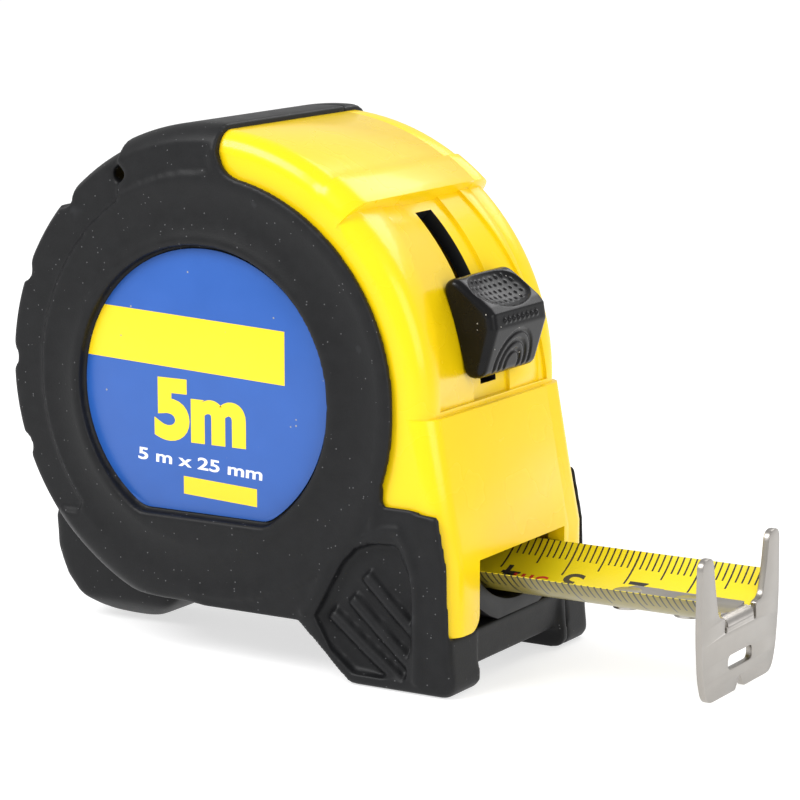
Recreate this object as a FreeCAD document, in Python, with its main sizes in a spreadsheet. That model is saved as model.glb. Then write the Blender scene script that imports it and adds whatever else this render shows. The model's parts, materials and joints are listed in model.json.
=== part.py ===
import FreeCAD, Part
import math
import os

import Sketcher
from FreeCAD import Placement, Rotation, Vector

# A five metre pocket tape measure in a two-colour moulded case.  Millimetres, +Z up.
# The row frame has +X along the drawn blade, +Y towards the belt clip, and its origin
# under the middle of the whole object, on the surface that it stands on.
# Every piece is drawn about the reel axis and then placed, so x = z = 0 below is the axis.

doc = FreeCAD.newDocument("tape_measure")
sheet = doc.addObject("Spreadsheet::Sheet", "Sizes")

SIZES = [
    # the whole case
    ("case_width", 42.0, "over the two rubber grips"),
    ("reel_height", 39.35, "reel axis above the surface the feet stand on"),
    ("mouth_reach", 41.3, "reel axis to the front face of the mouth"),
    ("blade_out", 34.2, "front face to the outer face of the hook, at rest"),
    ("heel_reach", 35.3, "reel axis back to the heel"),
    ("seam_y", 13.8, "parting plane of the two shells; also half the inside width"),
    ("wall", 2.1, "thickness of the shell's curved walls"),
    # the yellow shell
    ("front_radius", 36.6, "round front of the shell, about the reel axis"),
    ("front_inset", 1.4, "sides of the round front, inside the rubber's outer face"),
    ("front_round", 3.2, "rounding of its shoulders and of the front's upright corners"),
    ("pad_step", 1.1, "how far the top pad stands over the round front"),
    ("pad_angle", 48.5, "front edge of the top pad, degrees above the level"),
    ("shell_radius", 33.5, "round back of the shell, under the rubber"),
    ("round_x", 0.9, "centre of the round back, ahead of the reel axis"),
    ("round_z", 1.5, "and above it"),
    ("side_inset", 4.4, "sides of the shell under the rubber, inside its outer face"),
    ("boss_edge", 0.1, "raised boss under the label, all round beyond it"),
    ("boss_inset", 1.7, "its face, inside the rubber's outer face"),
    ("ridge_x", 37.4, "ridge under the lock"),
    ("ridge_z", -0.7, "its height"),
    ("brow_x", 39.8, "front face, level with the top of the flanges"),
    ("flange_z", -13.6, "top of the rubber flanges"),
    ("mouth_top", -20.95, "upper edge of the mouth"),
    ("mouth_half", 12.5, "half the width of the mouth"),
    ("leg_z", -30.9, "lower end of the legs beside the mouth"),
    ("leg_round", 2.4, "rounding of their lower ends"),
    ("floor_z", -28.7, "inside floor under the blade"),
    ("belly_z", -30.0, "underside of the shell"),
    # the lock
    ("slot_half", 2.2, "half the width of the lock's slot"),
    ("slot_low", 3.0, "lower end of the slot, degrees"),
    ("slot_high", 46.0, "upper end of the slot, degrees"),
    ("lock_travel", 19.0, "how far the lock slides, degrees"),
    ("track_top", 9.5, "half the width of the sunk track at its upper end"),
    ("track_low", 15.5, "and at its lower end"),
    ("track_depth", 0.5, "its depth"),
    ("channel_half", 5.2, "half the width of the channel along its middle"),
    ("channel_depth", 1.1, "depth of the channel below the round front"),
    ("lip_angle", 57.0, "upper edge of the raised lip, degrees above the level"),
    ("lip_step", 0.5, "how far the lip stands over the pad"),
    ("post_reach", 26.2, "screw posts, from the reel axis"),
    ("button_half", 7.8, "half the width of the thumb piece"),
    ("button_low", 6.0, "its lower edge, degrees"),
    ("button_high", 26.5, "its upper edge, degrees"),
    ("button_foot", 2.8, "how far its lower edge stands over the track"),
    ("button_rise", 6.2, "how far its crest stands over the track"),
    ("button_head", 2.2, "how far its upper edge stands over the track"),
    ("crest_low", 14.5, "lower side of the crest, degrees"),
    ("crest_high", 18.5, "upper side of the crest, where the thumb rest starts, degrees"),
    ("arm_half", 4.8, "half the width of the brake arm"),
    ("arm_outer", 32.2, "outer radius of the brake arm"),
    ("arm_thick", 3.2, "its thickness"),
    ("arm_low", -43.0, "its lower end, degrees"),
    # rubber
    ("grip_thick", 2.5, "rubber over the round back"),
    ("grip_round", 4.6, "rounding of the rubber's outer edges"),
    ("ring_radius", 31.7, "front edge of the rubber ring, about the reel axis"),
    ("band_x", 3.0, "front edge of the rubber over the top"),
    ("band_step", 1.0, "thicker rubber over the top"),
    ("window_round", 4.5, "corner between that edge and the ring"),
    ("foot_inner", 12.3, "inner side of each front foot, from the middle plane"),
    ("foot_front", 41.6, "front of the feet"),
    ("flange_front", 39.0, "front of the flanges at their top"),
    ("foot_back", 16.2, "where the feet leave the belly"),
    ("sole_back", 25.0, "back end of the flat sole"),
    ("belly_rubber", 1.2, "rubber under the belly"),
    ("heel_half", 9.0, "half the width of the heel"),
    ("heel_curve", 12.0, "radius of its rounded underside"),
    ("heel_flat", 2.5, "half the width of the flat that it stands on"),
    ("foot_round", 1.8, "rounding of the feet"),
    ("chin_gap", 3.2, "air under the chin between the feet"),
    ("eyelet_x", -14.2, "small hole through the near rubber, behind the reel axis"),
    ("eyelet_z", 30.5, "and above it"),
    ("eyelet_radius", 1.2, "its radius"),
    ("grip_notch", 2.0, "radius of the finger notches"),
    ("notch_depth", 1.9, "their depth"),
    ("notch_first", 135.5, "the highest of them, degrees round the back"),
    ("notch_pitch", 21.6, "their pitch, degrees"),
    # blade, reel and spring
    ("blade_width", 25.0, "flat width of the blade"),
    ("blade_thick", 0.14, "coated steel"),
    ("blade_curve", 15.5, "radius of the blade's hollow"),
    ("blade_drop", 22.95, "blade's edges below the reel axis"),
    ("blade_length", 5000.0, "whole blade"),
    ("blade_inside", 20.5, "modelled stretch behind the mouth"),
    ("coil_outer", 22.5, "blade wound on the drum"),
    ("drum_wall", 1.2, "drum's wall and flanges"),
    ("arbor_radius", 4.0, "fixed arbor"),
    ("running_gap", 0.06, "radial play on the arbor"),
    ("spring_inner", 8.5, "bore of the wound power spring"),
    ("liner_thick", 0.4, "side liners"),
    # hook
    ("hook_thick", 1.0, "steel plate"),
    ("hook_half", 12.6, "half its width"),
    ("hook_above", 6.0, "prong tips above the blade's edges"),
    ("hook_below", 14.4, "plate below the blade's edges"),
    ("prong_width", 3.4, "prong at its tip"),
    ("tongue_half", 3.8, "half the tongue's width"),
    ("tongue_length", 19.5, "tongue behind the hook's inner face"),
    ("hook_play", 1.0, "travel of the hook on its rivets"),
    ("rivet_radius", 1.1, "shank"),
    ("rivet_head", 2.0, "radius of a rivet's head"),
    # fasteners and clip
    ("screw_shank", 1.3, "radius of the case screws"),
    ("screw_head", 2.6, "radius of their heads"),
    ("clip_half", 7.0, "half the belt clip's width"),
    ("clip_thick", 0.9, "spring steel"),
    ("clip_gap", 3.2, "gap that the belt goes into"),
    ("clip_top", 15.0, "top of the clip above the reel axis"),
    ("clip_low", -19.0, "tip of the clip"),
    ("label_radius", 20.7, "label"),
    ("label_flat", 17.7, "label's flat lower edge, below its centre"),
    ("label_thick", 0.3, "label"),
    ("label_corner", 4.0, "rounding where the flat edge meets the round"),
    ("label_room", 0.6, "rubber's inner edge, all round beyond the label"),
    ("slide_gap", 0.12, "air between the thumb piece and the track"),
    ("fit_gap", 0.3, "clearance round moving and fitted pieces"),
]


class Size:
    """A cell, or a sum of cells: its text binds a property, its value is a first guess."""

    def __init__(self, text, value):
        self.text, self.value = text, float(value)

    def join(self, sign, other, result):
        return Size("(%s %s %s)" % (self.text, sign, size(other).text), result)

    def __add__(self, other):
        return self.join("+", other, self.value + size(other).value)

    def __sub__(self, other):
        return self.join("-", other, self.value - size(other).value)

    def __mul__(self, other):
        return self.join("*", other, self.value * size(other).value)

    def __truediv__(self, other):
        return self.join("/", other, self.value / size(other).value)

    def __neg__(self):
        return Size("(0 - %s)" % self.text, -self.value)

    def __radd__(self, other):
        return size(other) + self

    def __rsub__(self, other):
        return size(other) - self

    def __rmul__(self, other):
        return size(other) * self


def size(value):
    return value if isinstance(value, Size) else Size(repr(float(value)), value)


def cosine(angle):
    return Size("cos(%s)" % size(angle).text, math.cos(math.radians(size(angle).value)))


def sine(angle):
    return Size("sin(%s)" % size(angle).text, math.sin(math.radians(size(angle).value)))


def root(value):
    return Size("sqrt(%s)" % value.text, math.sqrt(value.value))


class Cells:
    """The sheet's cells by name, as Size values."""


cell = Cells()
for row, (name, value, note) in enumerate(SIZES, start=1):
    sheet.set("A%d" % row, name)
    sheet.set("B%d" % row, str(value))
    sheet.set("C%d" % row, note)
    sheet.setAlias("B%d" % row, name)
    setattr(cell, name, Size("Sizes." + name, value))
doc.recompute()

# Sums that several pieces share.
c = cell
half_width = c.case_width / 2
front_half = half_width - c.front_inset
side_half = half_width - c.side_inset
boss_reach = half_width - c.boss_inset
hook_outer = c.mouth_reach + c.blade_out
hook_inner = hook_outer - c.hook_thick
ground = -c.reel_height
blade_angle = c.blade_width / c.blade_curve * (90 / math.pi)        # half the blade's arc, degrees
blade_centre = c.blade_curve * cosine(blade_angle) - c.blade_drop   # axis of the blade's hollow
blade_low = blade_centre - c.blade_curve                            # bottom of the hollow
coil_inner = root(c.coil_outer * c.coil_outer - c.blade_length * c.blade_thick / math.pi)
cavity_half = c.seam_y
track_radius = c.front_radius - c.channel_depth                     # bottom of the channel
front_inside = track_radius - c.wall
clip_face = boss_reach + c.clip_thick * 2 + c.clip_gap            # outermost face of the clip
axis_in_row = ((c.heel_reach - hook_outer) / 2, (half_width - clip_face) / 2, c.reel_height)


# ---------------------------------------------------------------- drawing helpers

def bind(thing, path, value):
    """Tie a property to the sheet."""
    thing.setExpression(path, size(value).text)


places = {}


def place(thing, x=0, y=0, z=0):
    places[thing.Name] = (x, y, z)
    for letter, value in zip("xyz", (x, y, z)):
        bind(thing, "Placement.Base." + letter, value)
    return thing


def block(name, x, y, z):
    """A box from three (low, high) pairs."""
    box = doc.addObject("Part::Box", name)
    for key, (low, high) in (("Length", x), ("Width", y), ("Height", z)):
        bind(box, key, size(high) - low)
    return place(box, x[0], y[0], z[0])


def disc(name, radius, y, x=0, z=0):
    """A cylinder along Y from y[0] to y[1]."""
    drum = doc.addObject("Part::Cylinder", name)
    drum.Placement = Placement(Vector(), Rotation(Vector(1, 0, 0), -90))
    bind(drum, "Radius", radius)
    bind(drum, "Height", size(y[1]) - y[0])
    return place(drum, x, y[0], z)


def rod(name, radius, x, y=0, z=0):
    """A cylinder along X from x[0] to x[1]."""
    bar = doc.addObject("Part::Cylinder", name)
    bar.Placement = Placement(Vector(), Rotation(Vector(0, 1, 0), 90))
    bind(bar, "Radius", radius)
    bind(bar, "Height", size(x[1]) - x[0])
    return place(bar, x[0], y, z)


def pin(name, radius, z, x=0, y=0):
    """A cylinder along Z from z[0] to z[1]."""
    post = doc.addObject("Part::Cylinder", name)
    bind(post, "Radius", radius)
    bind(post, "Height", size(z[1]) - z[0])
    return place(post, x, y, z[0])


def draw(sketch, corners):
    """Closed outline through the corners, every corner tied to the sheet."""
    points = [Vector(size(u).value, size(v).value, 0) for u, v in corners]
    count = len(points)
    for number in range(count):
        sketch.addGeometry(Part.LineSegment(points[number], points[(number + 1) % count]), False)
    for number in range(count):
        sketch.addConstraint(Sketcher.Constraint("Coincident", number, 2, (number + 1) % count, 1))
    for number, (u, v) in enumerate(corners):
        for kind, value in (("DistanceX", u), ("DistanceY", v)):
            value = size(value)
            index = sketch.addConstraint(Sketcher.Constraint(kind, number, 1, value.value))
            if "Sizes." in value.text:
                sketch.setExpression("Constraints[%d]" % index, value.text)


SIDE = Rotation(Vector(1, 0, 0), 90)             # outline's axes are X and Z
FRONT = Rotation(0.5, 0.5, 0.5, 0.5)             # outline's axes are Y and Z


def prism(name, corners, span, turn=SIDE):
    """An outline pushed out across Y (side outlines) or along X (front outlines)."""
    sketch = doc.addObject("Sketcher::SketchObject", name + "_outline")
    sketch.Placement = Placement(Vector(), turn)
    draw(sketch, corners)
    solid = doc.addObject("Part::Extrusion", name)
    solid.Base = sketch
    solid.DirMode = "Custom"
    solid.Dir = Vector(0, 1, 0) if turn is SIDE else Vector(1, 0, 0)
    solid.Solid = True
    bind(solid, "LengthFwd", size(span[1]) - span[0])
    return place(solid, y=span[0]) if turn is SIDE else place(solid, x=span[0])


def fuse(name, *shapes):
    joined = doc.addObject("Part::MultiFuse", name)
    joined.Shapes = list(shapes)
    joined.Refine = True
    return joined


def cut(name, base, *tools):
    for number, tool in enumerate(tools):
        rest = doc.addObject("Part::Cut", name if number == len(tools) - 1 else name + "_cut%d" % number)
        rest.Base, rest.Tool = base, tool
        rest.Refine = True
        base = rest
    return base


def common(name, first, second):
    shared = doc.addObject("Part::Common", name)
    shared.Base, shared.Tool = first, second
    shared.Refine = True
    return shared


def rounded(name, base, radius, chosen):
    """Fillet the edges that chosen(edge) picks."""
    doc.recompute()
    fillet = doc.addObject("Part::Fillet", name)
    fillet.Base = base
    amount = size(radius).value
    edges = [number for number, edge in enumerate(base.Shape.Edges, start=1) if chosen(edge)]
    fillet.Edges = [(number, amount, amount) for number in edges]
    return fillet


def is_circle(edge):
    return isinstance(edge.Curve, Part.Circle)


def runs_along(edge, axis):
    """True for a straight edge parallel to an axis."""
    if not isinstance(edge.Curve, Part.Line):
        return False
    return abs(getattr(edge.tangentAt(edge.FirstParameter), axis)) > 0.999


def is_front_corner(edge):
    """Upright corner between the lower front and a side of the case."""
    ends = [vertex.Point for vertex in edge.Vertexes]
    return (min(end.x for end in ends) > c.ridge_x.value - 1 and not runs_along(edge, "y")
            and abs(sum(end.y for end in ends)) > front_half.value)


def sector(name, inner, outer, low, high, half):
    """A piece of a ring about the Y axis between two angles, symmetrical about the middle plane."""
    ring = cut(name + "_ring", disc(name + "_outer", outer, (-half, half)),
               disc(name + "_inner", inner, (-half - 1, half + 1)))
    reach = outer * 1.6
    wedge = prism(name + "_wedge", [
        (0, 0), (reach * cosine(low), reach * sine(low)),
        (reach * cosine((low + high) / 2), reach * sine((low + high) / 2)),
        (reach * cosine(high), reach * sine(high))], (-half - 1, half + 1))
    return common(name, ring, wedge)


nodes = []


def finish(thing, name):
    """Name a finished piece and move it from the reel axis to its place in the row frame."""
    thing.Label = name
    own = places.get(thing.Name, (0, 0, 0))
    place(thing, *[shift + at for shift, at in zip(axis_in_row, own)])
    nodes.append(thing)


# ---------------------------------------------------------------- case shells

far = 60                                   # beyond any piece
full = (-half_width - 1, half_width + 1)   # wider than the case


def beyond(name, angle):
    """Everything above a ray from the reel axis and ahead of the rubber band."""
    return prism(name, [(c.band_x, c.band_x * sine(angle) / cosine(angle)),
                        (far * cosine(angle), far * sine(angle)), (far, far * 2), (c.band_x, far * 2)], full)


def label_shape(name, grow, y):
    """The label's outline, a disc with a flat lower edge, grown all round and pushed out across Y."""
    face = common(name + "_cut", disc(name + "_disc", c.label_radius + grow, y),
                  block(name + "_keep", (-far, far), full, (-c.label_flat - grow, far)))
    return rounded(name, face, c.label_corner, lambda edge: runs_along(edge, "y"))


def shell_solid():
    """The two shells as one solid block, before it is hollowed and parted."""
    back_disc = disc("back_disc", c.shell_radius, (-side_half, side_half), c.round_x, c.round_z)
    back = common("back", back_disc, block("above_belly", (-far, far), full, (c.belly_z, far)))
    round_front = rounded("round_front", disc("front", c.front_radius, (-front_half, front_half)),
                          c.front_round, is_circle)
    front = common("front_part", round_front,
                   prism("front_keep", [(c.band_x, c.ridge_z * 2), (far, c.ridge_z * 2), (far, far),
                                        (c.band_x, far)], full))
    pad_radius = c.front_radius + c.pad_step
    pad_round = rounded("pad_round", disc("pad_disc", pad_radius, (-front_half, front_half)),
                        c.front_round, is_circle)
    pad = common("pad", pad_round, beyond("pad_keep", c.pad_angle))
    lip_disc = disc("lip_disc", pad_radius + c.lip_step, (-front_half, front_half))
    lip_round = rounded("lip_round", lip_disc, c.front_round + c.lip_step, is_circle)
    lip = cut("pad_lip", common("lip_part", lip_round, beyond("lip_keep", c.pad_angle)),
              beyond("lip_end", c.lip_angle))
    lower_front = prism("lower_front", [
        (0, c.ridge_z), (c.ridge_x, c.ridge_z), (c.brow_x, c.flange_z), (c.mouth_reach, c.mouth_top),
        (c.mouth_reach, c.leg_z), (c.mouth_reach - 7, c.leg_z), (c.mouth_reach - 7, c.belly_z),
        (0, c.belly_z)], (-front_half, front_half))
    lower = rounded("lower_rounded", lower_front, c.front_round, is_front_corner)
    boss = label_shape("boss", c.boss_edge, (-boss_reach, boss_reach))
    track = common("track", sector("track_ring", c.front_radius - c.track_depth, c.front_radius + 5, 0,
                                   c.pad_angle, c.track_low),
                   prism("track_flare", [(-c.track_low, 0), (c.track_low, 0), (c.track_top, c.front_radius),
                                         (-c.track_top, c.front_radius)], (0, far), FRONT))
    channel = sector("channel", track_radius, c.front_radius + 5, 0, c.pad_angle, c.channel_half)
    seats = [label_shape("near_seat", c.label_room, (-half_width - 1, -boss_reach)),
             label_shape("far_seat", c.label_room, (boss_reach, half_width + 1))]
    return cut("shell_solid", fuse("shell_sum", back, front, pad, lip, lower, boss), track, channel, *seats)


def inside():
    """The room inside the shells: reel, lock and blade channel."""
    back = common("room_back", disc("room_back_disc", c.shell_radius - c.wall, (-cavity_half, cavity_half),
                                    c.round_x, c.round_z),
                  block("above_floor", (-far, far), full, (c.floor_z, far)))
    front = disc("room_front", front_inside, (-cavity_half, cavity_half))
    lower = prism("room_lower", [
        (0, c.ridge_z), (front_inside, c.ridge_z), (c.brow_x - c.wall - 0.5, c.flange_z),
        (c.mouth_reach - c.wall - 0.6, c.mouth_top), (c.mouth_reach - c.wall - 0.6, c.floor_z),
        (-8.6, c.floor_z)], (-cavity_half, cavity_half))
    pocket = label_shape("room_pocket", -c.wall, (c.wall - boss_reach, boss_reach - c.wall))
    return fuse("room", common("room_front_part", front, prism("room_keep", [
        (0, c.ridge_z * 3), (far, c.ridge_z * 3), (far, far), (0, far)], full)), back, lower, pocket)


def leg_corner(name, side):
    """What rounds the lower end of a leg beside the mouth: a square bar less a round one."""
    middle, reach = c.mouth_half + c.leg_round, (c.mouth_reach - 7, c.mouth_reach + 1)
    across = [size(side) * (c.mouth_half - 1), side * middle]
    square = block(name + "_bar", reach, across if side > 0 else across[::-1],
                   (c.leg_z - 1, c.leg_z + c.leg_round))
    return cut(name, square, rod(name + "_rod", c.leg_round, (0, far), side * middle, c.leg_z + c.leg_round))


whole_shell = shell_solid()
room = inside()
mouth = block("mouth", (c.mouth_reach - 7, c.mouth_reach + 5), (-c.mouth_half, c.mouth_half),
              (c.leg_z - 1, c.mouth_top))
open_shell = cut("open_shell", whole_shell, room, mouth,
                 leg_corner("near_leg", -1), leg_corner("far_leg", 1))
slot = sector("slot", front_inside - 3, c.front_radius + 3, c.slot_low, c.slot_high, c.slot_half)

# Screw posts, well clear of the coil and of the brake arm's sweep: degrees round the reel axis.
POSTS = [64, 118, 182, 236]


def at_post(build):
    """One shape per screw post; build(number, x, z) makes it."""
    return [build(number, c.post_reach * cosine(angle), c.post_reach * sine(angle))
            for number, angle in enumerate(POSTS)]


def make_case_body():
    near = block("near_half", (-far, far), (-half_width - 5, c.seam_y), (-far, far))
    shell = cut("near_shell", common("near_solid", open_shell, near), slot)
    posts = at_post(lambda n, x, z: disc("post%d" % n, c.screw_head + 0.2, (-c.seam_y, c.seam_y), x, z))
    holes = at_post(lambda n, x, z: disc("pilot%d" % n, c.screw_shank - 0.2,
                                         (c.seam_y - 11, c.seam_y + 1), x, z))
    finish(cut("case_body_solid", fuse("near_posts", shell, *posts), *holes), "case_body")


def make_case_cover():
    far_half = block("far_half", (-far, far), (c.seam_y, half_width + 5), (-far, far))
    shell = common("far_shell", open_shell, far_half)
    holes = at_post(lambda n, x, z: disc("clear%d" % n, c.screw_shank + 0.2,
                                         (c.seam_y - 1, half_width), x, z))
    seats = at_post(lambda n, x, z: disc("seat%d" % n, c.screw_head + 0.2, (side_half, half_width), x, z))
    hub = disc("clip_hole", c.screw_shank + 0.2, (0, half_width))
    finish(cut("case_cover_solid", shell, hub, *holes, *seats), "case_cover")


# ---------------------------------------------------------------- rubber grips

def is_foot_edge(edge):
    """Outer edges of the feet and flanges, and the two lower edges across them."""
    at = edge.CenterOfMass
    if runs_along(edge, "y"):
        return at.z < c.leg_z.value - 4
    return at.x > c.sole_back.value and at.z < c.flange_z.value + 1


def grip_solid():
    """Rubber over the back, the belly, the sides, the feet and the heel."""
    radius, level = c.shell_radius + c.grip_thick, c.belly_z - c.belly_rubber
    shell = rounded("grip_back", disc("grip_disc", radius, (-half_width, half_width), c.round_x, c.round_z),
                    c.grip_round, is_circle)
    trimmed = common("grip_trim", shell, block("grip_above", (-far, far), full, (level, far)))
    band_round = rounded("band_round", disc("band_disc", radius + c.band_step, (-half_width, half_width),
                                            c.round_x, c.round_z), c.grip_round, is_circle)
    band = common("band", band_round, block("band_keep", (-14, c.band_x), full, (c.ring_radius - 6, far)))
    side_sharp = prism("side_sharp", [
        (0, level), (c.foot_back, level), (c.sole_back, ground), (c.foot_front, ground),
        (c.foot_front - 0.8, c.leg_z), (c.foot_front - 1.1, c.mouth_top), (c.flange_front, c.flange_z),
        (c.brow_x - 5, c.flange_z + 0.6), (c.ring_radius, 0), (0, 0)], (-half_width, half_width))
    side = rounded("grip_side", side_sharp, c.foot_round, is_foot_edge)
    heel_box = prism("heel_box", [
        (4 - c.heel_reach, -16), (-c.heel_reach, -24), (0.2 - c.heel_reach, -29),
        (1.8 - c.heel_reach, -33), (4.8 - c.heel_reach, -36.6), (7.8 - c.heel_reach, ground + 0.7),
        (10.8 - c.heel_reach, ground), (14 - c.heel_reach, ground), (17 - c.heel_reach, ground + 0.9),
        (20.5 - c.heel_reach, ground + 3), (26.5 - c.heel_reach, level), (-4, -16)],
        (-c.heel_half, c.heel_half))
    heel_round = rod("heel_round", c.heel_curve, (-far, 0),
                     z=ground + root(c.heel_curve * c.heel_curve - c.heel_flat * c.heel_flat))
    heel = common("heel", heel_box, fuse("heel_keep", heel_round, block(
        "heel_above", (-far, 0), (-c.heel_half, c.heel_half), (ground + c.heel_curve, 0))))
    between = prism("between_feet", [
        (-far, ground - 1), (far, ground - 1), (far, level), (-far, level)],
        (-c.foot_inner, c.foot_inner))
    in_front = block("in_front", (c.mouth_reach - 7, far), (-front_half, front_half),
                     (c.leg_z, far))
    chin = prism("chin", [
        (c.foot_back + 4, level + 0.5), (c.sole_back + 1, ground + c.chin_gap),
        (c.foot_front - 1.4, ground + c.chin_gap), (c.foot_front - 0.9, c.leg_z),
        (c.foot_back + 4, c.leg_z)], (-c.foot_inner, c.foot_inner))
    feet = cut("feet", side, between, in_front)
    return fuse("grip_sum", trimmed, band, feet, heel, chin)


def notches():
    """Finger notches down the back."""
    middle = c.shell_radius + c.grip_thick + c.grip_notch - c.notch_depth
    return [disc("notch%d" % n, c.grip_notch, full,
                 c.round_x + middle * cosine(c.notch_first + c.notch_pitch * n),
                 c.round_z + middle * sine(c.notch_first + c.notch_pitch * n)) for n in range(4)]


def is_window_corner(edge):
    """Where the front edge of the band meets the ring."""
    at = edge.CenterOfMass
    return runs_along(edge, "y") and abs(at.x - c.band_x.value) < 0.01 and 0 < at.z < c.ring_radius.value


def make_grips():
    window_sharp = cut("window_sharp", prism("window_outline", [
        (c.band_x, c.flange_z + 0.6), (far, c.flange_z + 0.6), (far, far), (c.band_x, far)], full),
        disc("window_ring", c.ring_radius, (-half_width - 2, half_width + 2)))
    window = rounded("window", window_sharp, c.window_round, is_window_corner)
    hollow = label_shape("label_hollow", c.label_room, full)
    rubber = cut("rubber", grip_solid(), whole_shell, window, hollow, bumper_solid(), *notches())
    near = block("near_rubber", (-far, far), (-half_width - 5, c.seam_y), (-far, far))
    rest = block("far_rubber", (-far, far), (c.seam_y, half_width + 5), (-far, far))
    eyelet = disc("eyelet", c.eyelet_radius, (-half_width - 1, 1 - side_half), c.eyelet_x, c.eyelet_z)
    finish(cut("grip_left_solid", common("grip_near", rubber, near), eyelet), "grip_left")
    holes = at_post(lambda n, x, z: disc("head_hole%d" % n, c.screw_head + 0.6,
                                         (c.seam_y, half_width + 1), x, z))
    finish(cut("grip_right_solid", common("grip_far", rubber, rest), *holes), "grip_right")


def bumper_solid():
    """Curved lip under the blade in the mouth."""
    reach = (c.mouth_reach - 7 + c.fit_gap, c.mouth_reach - 0.6)
    lip_box = block("lip_box", reach, (-c.mouth_half + 0.1, c.mouth_half - 0.1), (c.leg_z, blade_low + 6))
    lip = common("lip", rod("lip_outer", c.blade_curve + 4.1, reach, z=blade_centre), lip_box)
    return cut("lip_hollow", lip, rod("lip_inner", c.blade_curve + 1, (0, far), z=blade_centre))


def make_bumper():
    finish(bumper_solid(), "mouth_bumper")


def make_label():
    finish(label_shape("label", 0, (-boss_reach - c.label_thick, -boss_reach)), "label_left")


# ---------------------------------------------------------------- PartDesign helpers

def origin_part(body, role):
    return next(item for item in body.Origin.OriginFeatures if item.Role == role)


def sketch_in(body, role, name, corners, offset=0):
    """A sketch on one of the body's own planes, lifted off it by offset."""
    sketch = body.newObject("Sketcher::SketchObject", name)
    sketch.AttachmentSupport = (origin_part(body, role), [""])
    sketch.MapMode = "FlatFace"
    bind(sketch, "AttachmentOffset.Base.z", offset)
    draw(sketch, corners)
    return sketch


def turned(name, corners):
    """A body turned about Y; the outline's corners are (radius, y)."""
    body = doc.addObject("PartDesign::Body", name)
    sketch = sketch_in(body, "XY_Plane", name + "_section", corners)
    feature = body.newObject("PartDesign::Revolution", name + "_turned")
    feature.Profile = sketch
    feature.ReferenceAxis = (origin_part(body, "Y_Axis"), [""])
    feature.Angle = 360
    return body


def pocketed(body, name, role, corners, depth, offset, reverse):
    """Cut an outline into a body, and make sure that it did cut."""
    doc.recompute()
    before = body.Shape.Volume
    sketch = sketch_in(body, role, name + "_outline", corners, offset)
    feature = body.newObject("PartDesign::Pocket", name)
    feature.Profile = sketch
    feature.Reversed = reverse
    bind(feature, "Length", depth)
    doc.recompute()
    assert body.Shape.Volume < before - 0.01, name + " cuts nothing"
    return feature


# ---------------------------------------------------------------- reel and spring

drum_outer = coil_inner - 0.1
drum_inner = drum_outer - c.drum_wall
bore = c.arbor_radius + c.running_gap
reel_half = c.blade_width / 2
link_half = 6


def make_arbor():
    reach = boss_reach - c.wall - 0.05
    post = disc("arbor_post", c.arbor_radius, (-reach, reach))
    split = block("arbor_split", (-0.5, 0.5), (-reel_half + 1, reel_half - 3), (-far, far))
    thread = disc("arbor_thread", c.screw_shank - 0.1, (reel_half - 2, far))
    finish(cut("arbor_solid", post, split, thread), "arbor")


def make_drum():
    body = turned("drum", [
        (bore, -reel_half), (drum_outer, -reel_half), (drum_outer, reel_half), (drum_inner, reel_half),
        (drum_inner, c.drum_wall - reel_half), (bore + 2, c.drum_wall - reel_half),
        (bore + 2, c.drum_wall + 4 - reel_half), (bore, c.drum_wall + 4 - reel_half)])
    pocketed(body, "link_window", "XY_Plane", [
        (-1.3, -link_half - 0.3), (1.3, -link_half - 0.3), (1.3, link_half + 0.3), (-1.3, link_half + 0.3)],
        far, 0, True)
    finish(body, "reel_drum")


def make_reel_cover():
    lid = drum_inner - 0.1
    finish(turned("lid", [(bore, reel_half - c.drum_wall), (lid, reel_half - c.drum_wall),
                          (lid, reel_half), (bore, reel_half)]), "reel_cover")


def make_power_spring():
    inner, outer, half = c.spring_inner, drum_inner - 0.3, reel_half - c.drum_wall - 0.5
    finish(turned("spring", [(inner, -half), (outer, -half), (outer, half), (inner, half)]),
           "power_spring")


def make_spring_link():
    finish(block("link", (-1, 1), (-link_half, link_half), (drum_inner - 0.2, drum_outer)), "spring_link")


def make_coil():
    finish(turned("coil", [(coil_inner, -reel_half), (c.coil_outer, -reel_half),
                           (c.coil_outer, reel_half), (coil_inner, reel_half)]), "blade_coil")


def make_liners():
    inner, outer, face = c.arbor_radius + 1, c.coil_outer + 0.2, c.seam_y
    for name, low in (("liner_left", -face), ("liner_right", face - c.liner_thick)):
        finish(turned(name + "_disc", [(inner, low), (outer, low), (outer, low + c.liner_thick),
                                       (inner, low + c.liner_thick)]), name)


# ---------------------------------------------------------------- blade and hook

blade_back = c.mouth_reach - c.blade_inside
rivets = [hook_inner - 7, hook_inner - 16.5]


def trough(name, outer, thick, angle, x):
    """A curved strip along X that hangs under the axis of the blade's hollow."""
    ring = cut(name + "_ring", rod(name + "_outer", outer, x, z=blade_centre),
               rod(name + "_inner", outer - thick, (size(x[0]) - 1, size(x[1]) + 1), z=blade_centre))
    reach = outer * 2
    wedge = prism(name + "_wedge", [
        (0, blade_centre), (-reach * sine(angle), blade_centre - reach * cosine(angle)),
        (reach * sine(angle), blade_centre - reach * cosine(angle))], x, FRONT)
    return common(name, ring, wedge)


def make_blade():
    strip = trough("strip", c.blade_curve, c.blade_thick, blade_angle, (blade_back, hook_inner - 0.05))
    holes = [pin("rivet_hole%d" % n, c.rivet_radius + 0.05, (blade_low - 2, 0), x)
             for n, x in enumerate(rivets)]
    finish(cut("strip_holes", strip, *holes), "blade_strip")


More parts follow.
